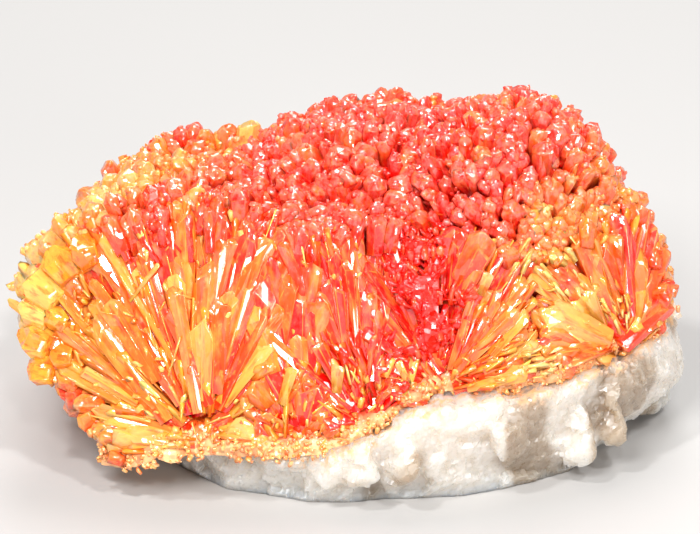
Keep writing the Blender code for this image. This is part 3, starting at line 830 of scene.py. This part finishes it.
rng = default_rng(21)
stout = [crystal_form(rng, 6, BLADE_TIERS, BLADE_EASING) for _ in range(12)]
slim = [crystal_form(rng, 4, SLIVER_TIERS) for _ in range(6)]
paint = crystal_material("orpiment_blades", faces=2.6, stretch=0.16, rough=0.04, frost=0.25, clear=0.2)
sliver_paint = crystal_material("orpiment_slivers", faces=2.6, stretch=0.16, rough=0.04)
for fan, (_, _, side) in enumerate(FANS):
    if side == INSIDE:
        continue
    for number, layer in enumerate(BLADE_LAYERS):
        rng = default_rng(300 + 10 * fan + number)
        _, widths, flatness, _, _, _, warmer = layer
        feet, tips = blades_of(fan, layer, rng)
        count = len(feet)
        warmth = warmth_at((feet + tips) / 2) + warmer + rng.normal(0.0, BLADE_WARMTH_SPREAD, count)
        width = rng.uniform(*widths, count) * FAN_COARSENESS.get(fan, 1.0)
        facing = rng.normal(0.0, BLADE_FACING_SPREAD, (count, 3)) + (-0.1, side, BLADE_FACES_UP)
        broad = number < 2
        grow(
            f"blades_{fan + 1}_{number + 1}", stout if broad else slim, paint if broad else sliver_paint,
            400 + 10 * fan + number, foot=feet, tip=tips, facing=facing, width=width,
            flatness=rng.uniform(*flatness, count), end=width * rng.uniform(0.8, 2.4, count),
            roll=rng.normal(0.0, 0.4, count), taper=rng.uniform(0.3, 0.7, count),
            foot_tint=colour_of(warmth - 0.10), tip_tint=colour_of(warmth + 0.08),
        )

# ---- The druse
# Small sparkling orpiment crystals that coat the heart wherever the large ones leave it bare: in the gaps
# between them and all over the red hollow right of the middle.

DRUSE_SPOTS, DRUSE_ABOVE_BED = 9000, 0.9
DRUSE_WIDTH, DRUSE_HEIGHT, DRUSE_SHORTER = (0.10, 0.30), (0.35, 1.1), 0.32
DRUSE_ENDS = ((0.4, 1.0), (-0.2, 0.0))
HOLLOW_REACH, UPRIGHT_IN_HOLLOW, UPRIGHT_ELSEWHERE = 3.0, 0.9, 0.3


def spots_on(mesh, count, rng):
    """Points spread evenly over a mesh, with the way its surface faces at each."""
    mesh.calc_loop_triangles()
    corners = points_of(mesh)[rows_of(mesh.loop_triangles, "vertices", np.int32)]
    faces = np.cross(corners[:, 1] - corners[:, 0], corners[:, 2] - corners[:, 0])
    area = np.linalg.norm(faces, axis=1)
    which = rng.choice(len(area), count, p=area / area.sum())
    first, second = np.sqrt(rng.uniform(size=count)), rng.uniform(size=count)
    shares = np.stack([1.0 - first, first * (1.0 - second), first * second], axis=1)
    return np.einsum("ij,ijk->ik", shares, corners[which]), faces[which] / area[which][:, None]


def way_out(spots, fans):
    """The way out of the fan that each spot is deepest in, and the spot's share of that fan's reach."""
    shares = np.array([growth_share(fan, spots) for fan in fans])
    roots = np.array([root_of(fan) for fan in fans])
    return unit(spots - roots[np.argmin(shares, axis=0)]), np.min(shares, axis=0)


rng = default_rng(41)
forms = [crystal_form(rng, 5, ((int(rng.choice((2, 3, 4))), *DRUSE_ENDS),)) for _ in range(10)]
spots, facing = spots_on(bpy.data.meshes["crystal_heart"], DRUSE_SPOTS, rng)
bare = spots[:, 2] > bed_height(spots[:, 0]) + DRUSE_ABOVE_BED
spots, facing = spots[bare], facing[bare]
count = len(spots)
away, _ = way_out(spots, range(len(FANS)))
hollow = (np.abs(spots[:, 0] - HOLLOW_MIDDLE[0]) < HOLLOW_REACH) & (spots[:, 1] < 0.0)
upright = np.where(hollow, UPRIGHT_IN_HOLLOW, UPRIGHT_ELSEWHERE)[:, None]
out = unit(upright * facing + away + rng.normal(0.0, 0.2, (count, 3)))
warmth = warmth_at(spots) - 0.08 + rng.normal(0.0, 0.10, count)
width = rng.uniform(*DRUSE_WIDTH, count)
height = rng.uniform(*DRUSE_HEIGHT, count) * np.where(hollow, 1.0, DRUSE_SHORTER)
paint = crystal_material("orpiment_druse", faces=3.0, stretch=1.0, frost=0.25, cloudy=0.20)
grow(
    "druse", forms, paint, 42, foot=spots - BURIED * out, tip=spots + out * height[:, None],
    facing=rng.normal(size=(count, 3)), width=width,
    flatness=rng.uniform(0.5, 1.0, count), end=width * rng.uniform(1.0, 2.4, count),
    roll=rng.uniform(0.0, math.tau, count), taper=np.full(count, 0.8),
    foot_tint=colour_of(warmth - 0.2), tip_tint=colour_of(warmth),
)

# ---- The root crust
# A granular crust of short peach and orange orpiment grains just above the calcite, where the first
# crystals grew close together. It hides the join all round.

CRUST_SPOTS, CRUST_WARMTH = 90000, 0.80
CRUST_WIDTH, CRUST_BAND, CRUST_BURIED = (0.06, 0.20), (0.3, 1.5), 0.40
CRUST_OVERHANG, CRUST_DROP, DROPS_WITHIN, CRUST_LEAN = -0.6, 0.45, 0.4, 0.35
CRUST_TIERS = ((4, (0.2, 0.7), (-0.3, 0.0)),)

rng = default_rng(31)
forms = [crystal_form(rng, 5, CRUST_TIERS) for _ in range(8)]
spots, facing = spots_on(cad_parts["orpiment_crystals"].data, CRUST_SPOTS, rng)
above = spots[:, 2] - bed_height(spots[:, 0])
near = (above < rng.uniform(*CRUST_BAND, len(spots))) & (facing[:, 2] > CRUST_OVERHANG)
spots, facing = spots[near], facing[near]
count = len(spots)
at_join = spots[:, 2] < bed_height(spots[:, 0]) + DROPS_WITHIN
spots[:, 2] -= rng.uniform(0.0, CRUST_DROP, count) * at_join
out = unit(facing + rng.normal(0.0, CRUST_LEAN, (count, 3)))
width = rng.uniform(*CRUST_WIDTH, count)
pale = rng.uniform(0.2, 1.0, (count, 1))
tint = blended(colour_of(CRUST_WARMTH + rng.normal(0.0, 0.14, count)), PEACH, pale)
grow(
    "root_crust", forms, crystal_material("orpiment_crust", faces=3.0, stretch=1.0, rough=0.15), 32,
    foot=spots - out * CRUST_BURIED, tip=spots + out * rng.uniform(-0.10, 0.08, count)[:, None],
    facing=rng.normal(size=(count, 3)), width=width, flatness=rng.uniform(0.5, 1.0, count),
    end=width * 0.8, roll=rng.uniform(0.0, math.tau, count), taper=np.full(count, 0.9),
    foot_tint=tint, tip_tint=tint,
)

# ---- Flakes
# Thin cleavage flakes of orpiment that cling to the broken faces, pale yellow because they are thin. Most
# lie on the left fan and on the two at the right.

FLAKE_PATCHES = (
    # middle x, z; spread x, z; how many
    ((-12.0, 8.0), (4.0, 3.5), 90),
    ((-17.0, 9.0), (1.6, 2.5), 60),
    ((10.0, 7.5), (2.4, 1.2), 30),
    ((13.5, 10.8), (2.2, 1.6), 30),
    ((-3.0, 6.0), (3.0, 1.6), 40),
    ((1.0, 6.6), (2.5, 1.2), 30),
    ((0.0, 12.0), (12.0, 3.0), 40),
)
FLAKE_LENGTH, FLAKE_WIDTH = (0.3, 1.3), (0.06, 0.26)
FLAKE_TIERS = ((3, (0.4, 1.1), (-0.3, 0.1)),)
FLAKE_WARMTH, FLAKES_ABOVE_BED = 0.84, 0.5
FRONT_FANS = [number for number, (_, _, side) in enumerate(FANS) if side == FRONT]


def front_spots(across, up, out):
    """Places on the front broken face, some way out from it."""
    return np.stack([across, break_y(FRONT, across, up) - out, up], axis=1)


rng = default_rng(51)
forms = [crystal_form(rng, 5, FLAKE_TIERS) for _ in range(12)]
across, up = (
    np.concatenate([rng.normal(at[axis], spread[axis], many) for at, spread, many in FLAKE_PATCHES])
    for axis in (0, 1)
)
spots = front_spots(across, up, rng.uniform(-0.15, 0.12, len(up)))
along, share = way_out(spots, FRONT_FANS)
on_fan = (share < COVERED_WITHIN) & (up > bed_height(across) + FLAKES_ABOVE_BED)
spots, along, count = spots[on_fan], along[on_fan], on_fan.sum()
along = unit(along + rng.normal(0.0, 0.4, (count, 3)) + (0.0, -0.05, 0.0))
length = rng.uniform(*FLAKE_LENGTH, count)[:, None]
warmth = FLAKE_WARMTH + rng.normal(0.0, 0.14, count)
width = rng.uniform(*FLAKE_WIDTH, count)
facing = rng.normal(0.0, 0.45, (count, 3)) + (0.0, -1.0, 0.4)
grow(
    "flakes", forms, crystal_material("orpiment_flakes", faces=3.0, stretch=0.5, frost=0.2), 52,
    foot=spots - 0.5 * along * length, tip=spots + 0.5 * along * length, facing=facing, width=width,
    flatness=rng.uniform(0.15, 0.4, count), end=width * rng.uniform(0.4, 2.5, count),
    roll=rng.normal(0.0, 0.6, count), taper=rng.uniform(0.2, 1.0, count),
    foot_tint=colour_of(warmth), tip_tint=colour_of(warmth + 0.08),
)

# ---- The crystals that stand clear
# A few orpiment crystals that stand clear of the broken face: pale splinters on the left fan and the
# middle, and one broad peach one right of the hollow, with a white flake caught on it.

STANDING = (
    # foot x, z; tip x, z; how far it stands out; half width; flatness; warmth
    ((-12.5, 11.0), (-10.8, 13.3), 0.35, 0.16, 0.6, 1.00),
    ((-10.3, 7.3), (-9.6, 9.5), 0.30, 0.07, 1.0, 0.98),
    ((-0.75, 6.5), (-0.65, 8.2), 0.45, 0.42, 0.3, 0.92),
    ((3.1, 5.9), (4.0, 8.8), 0.70, 0.36, 0.4, 0.95),
    ((3.5, 6.3), (2.7, 7.9), 0.50, 0.30, 0.4, 0.90),
    ((5.6, 10.2), (7.8, 15.0), 0.55, 1.05, 0.35, 0.46),
    ((7.4, 11.4), (7.9, 12.9), 0.75, 0.36, 0.2, 1.00),
    ((-3.9, 5.9), (-3.2, 8.0), 0.35, 0.40, 0.4, 0.90),
)
FACING_FRONT = (-0.14, -0.80, 0.55)


def stand_clear(name, rows, forms, paint, seed):
    """Grows crystals that stand clear of the front, from a row of sizes for each."""
    rng = default_rng(seed)
    foot, tip = (np.array([row[end] for row in rows]) for end in (0, 1))
    out, width, flatness, warmth = (np.array([row[part] for row in rows]) for part in (2, 3, 4, 5))
    count = len(rows)
    grow(
        name, forms, paint, seed + 1, foot=front_spots(foot[:, 0], foot[:, 1], 0.2 * out),
        tip=front_spots(tip[:, 0], tip[:, 1], out), facing=np.tile(FACING_FRONT, (count, 1)), width=width,
        flatness=flatness, end=1.3 * width, roll=rng.normal(0.0, 0.15, count), taper=np.full(count, 0.7),
        foot_tint=colour_of(warmth - 0.08), tip_tint=colour_of(warmth),
    )


rng = default_rng(61)
forms = [crystal_form(rng, 6, BLADE_TIERS, BLADE_EASING) for _ in range(5)]
paint = crystal_material(
    "orpiment_standing", faces=2.0, stretch=0.4, rough=0.04, frost=0.5, depth=0.30, clear=0.2
)
stand_clear("standing_crystals", STANDING, forms, paint, 61)

# ---- The big ends at the left
# The thickest orpiment crystals of all, whose blunt cream-yellow ends close the left fan. They are grown
# into one another and into the heart.

KNOBS = (
    # foot x, z; tip x, z; how far it stands out; half width; flatness; warmth
    ((-16.7, 10.0), (-18.6, 11.0), 0.25, 1.40, 0.90, 0.97),
    ((-17.1, 9.0), (-19.1, 9.5), 0.35, 1.25, 0.80, 1.00),
    ((-17.1, 7.6), (-19.1, 7.8), 0.25, 1.30, 0.90, 0.92),
    ((-15.8, 11.5), (-17.2, 12.9), 0.10, 1.20, 0.90, 0.84),
    ((-16.9, 6.3), (-18.5, 6.2), 0.20, 1.05, 0.80, 0.84),
    ((-14.6, 12.4), (-15.7, 13.9), 0.05, 1.05, 0.90, 0.74),
    ((-16.3, 9.0), (-17.5, 9.7), 0.60, 0.80, 0.70, 0.88),
    ((-15.9, 7.4), (-17.2, 7.3), 0.55, 0.80, 0.70, 0.80),
)
KNOB_EASING = 0.12

rng = default_rng(64)
forms = [crystal_form(rng, 7, HEAD_TIERS, KNOB_EASING) for _ in range(7)]
paint = crystal_material("orpiment_knobs", faces=1.6, stretch=0.3, rough=0.04, depth=0.20, cloudy=0.25)
stand_clear("end_knobs", KNOBS, forms, paint, 65)

# ---- The cleavage steps
# Stairs of thin orpiment plates where fans at the right split along their one perfect cleavage. The plates
# all lie the same way, so they flash together. Their cream tint is the pale yellow of thin orpiment and, in
# part, a painted highlight of that flash.

STEPS = (
    # from x, z; to x, z; how many
    ((9.4, 13.6), (11.6, 12.0), 14),
    ((12.6, 11.4), (15.7, 8.7), 24),
    ((10.2, 7.5), (12.4, 7.3), 16),
    ((14.0, 9.8), (17.0, 8.0), 12),
)
STEP_LENGTH, STEP_WIDTH, STEP_SPREAD = (0.5, 1.6), (0.06, 0.22), 0.42
STEP_TIERS = ((2, (0.5, 1.1), (-0.3, 0.1)),)
CREAM_AND_GLINT, CREAM_WARMTH = (1.0, 0.84, 0.34), 0.92

rng = default_rng(71)
forms = [crystal_form(rng, 4, STEP_TIERS) for _ in range(6)]
start, stop = (np.array([row[end] for row in STEPS]) for end in (0, 1))
which = np.repeat(np.arange(len(STEPS)), [row[2] for row in STEPS])
count = len(which)
way = start[which] + (stop - start)[which] * rng.uniform(size=(count, 1))
way = way + rng.normal(0.0, STEP_SPREAD, (count, 2))
spots = front_spots(way[:, 0], way[:, 1], rng.uniform(-0.10, 0.18, count))
along = unit(way_out(spots, FRONT_FANS)[0] + rng.normal(0.0, 0.14, (count, 3)))
length = rng.uniform(*STEP_LENGTH, count)[:, None]
width = rng.uniform(*STEP_WIDTH, count)
facing = rng.normal(0.0, 0.08, (count, 3)) + FACING_FRONT
# Cream tint: thin orpiment's pale yellow, partly a painted highlight.
pale = rng.uniform(0.0, 0.9, (count, 1))
tint = blended(colour_of(np.full(count, CREAM_WARMTH)), CREAM_AND_GLINT, pale)
paint = crystal_material("orpiment_steps", faces=2.0, stretch=0.5, rough=0.05, tilt=0.06)
grow(
    "cleavage_steps", forms, paint, 72, foot=spots - 0.5 * along * length,
    tip=spots + 0.5 * along * length, facing=facing, width=width,
    flatness=rng.uniform(0.08, 0.2, count), end=width * rng.uniform(0.4, 1.5, count),
    roll=rng.normal(0.0, 0.15, count), taper=rng.uniform(0.2, 1.0, count),
    foot_tint=tint, tip_tint=tint,
)

# ---- The studio
# A pale table under soft lamps: one in front and above, one low at the front right, a large one behind,
# and small bright ones that the crystal faces catch.

CAMERA_LENS, CAMERA_DISTANCE, CAMERA_ELEVATION = 265.0, 300.0, 24.0
LOOK_AT = (0.58, -0.335, 9.7)
TABLE_HALF, TABLE_BELOW, TABLE_GREY, TABLE_ROUGHNESS = 3000.0, 0.02, (0.48, 0.47, 0.46), 0.7
SKY_WHITE, SKY_STRENGTH = (1.0, 0.98, 0.96), 0.28
LAMPS = (
    # name, azimuth, elevation, distance, size, power
    ("key", -20.0, 42.0, 320.0, 90.0, 0.72),
    ("fill", 35.0, 14.0, 360.0, 110.0, 0.45),
    ("back", 170.0, 55.0, 320.0, 160.0, 0.70),
    ("spark_left", -50.0, 62.0, 300.0, 26.0, 0.32),
    ("spark_right", 35.0, 55.0, 300.0, 26.0, 0.32),
    ("spark_front", 5.0, 40.0, 340.0, 22.0, 0.20),
)


def aim(thing, azimuth, elevation, distance):
    """Puts a lamp or the camera round the specimen, facing it. Azimuth 0 is in front."""
    a, e = math.radians(azimuth), math.radians(elevation)
    away = Vector((math.sin(a) * math.cos(e), -math.cos(a) * math.cos(e), math.sin(e)))
    thing.location = Vector(LOOK_AT) * MM + away * (distance * MM)
    thing.rotation_euler = away.to_track_quat("Z", "Y").to_euler()


shape = bmesh.new()
bmesh.ops.create_grid(shape, x_segments=1, y_segments=1, size=TABLE_HALF * MM)
mesh = bpy.data.meshes.new("table")
shape.to_mesh(mesh)
shape.free()
table = add_object("table", mesh)
table.location.z = -TABLE_BELOW * MM
made, tree, shader = blank("table")
feed(tree, shader, {"Base Color": TABLE_GREY, "Roughness": TABLE_ROUGHNESS})
mesh.materials.append(made)

for name, azimuth, elevation, distance, size, power in LAMPS:
    lamp = bpy.data.lights.new(name, "AREA")
    lamp.size = size * MM
    lamp.energy = power
    holder = add_object(name, lamp)
    holder.visible_camera = False
    aim(holder, azimuth, elevation, distance)

camera = bpy.data.cameras.new("camera")
camera.lens, camera.sensor_width = CAMERA_LENS, 36.0
camera.clip_start, camera.clip_end = 0.01, 20.0
holder = add_object("camera", camera)
aim(holder, 0.0, CAMERA_ELEVATION, CAMERA_DISTANCE)

world = bpy.data.worlds.new("studio")
world.use_nodes = True
feed(world.node_tree, world.node_tree.nodes["Background"], {"Color": SKY_WHITE, "Strength": SKY_STRENGTH})
scene = bpy.context.scene
scene.camera = holder
scene.world = world
scene.view_settings.view_transform = "Standard"
scene.cycles.max_bounces = 6
scene.cycles.diffuse_bounces = 3
scene.cycles.glossy_bounces = 2
scene.cycles.transmission_bounces = 3
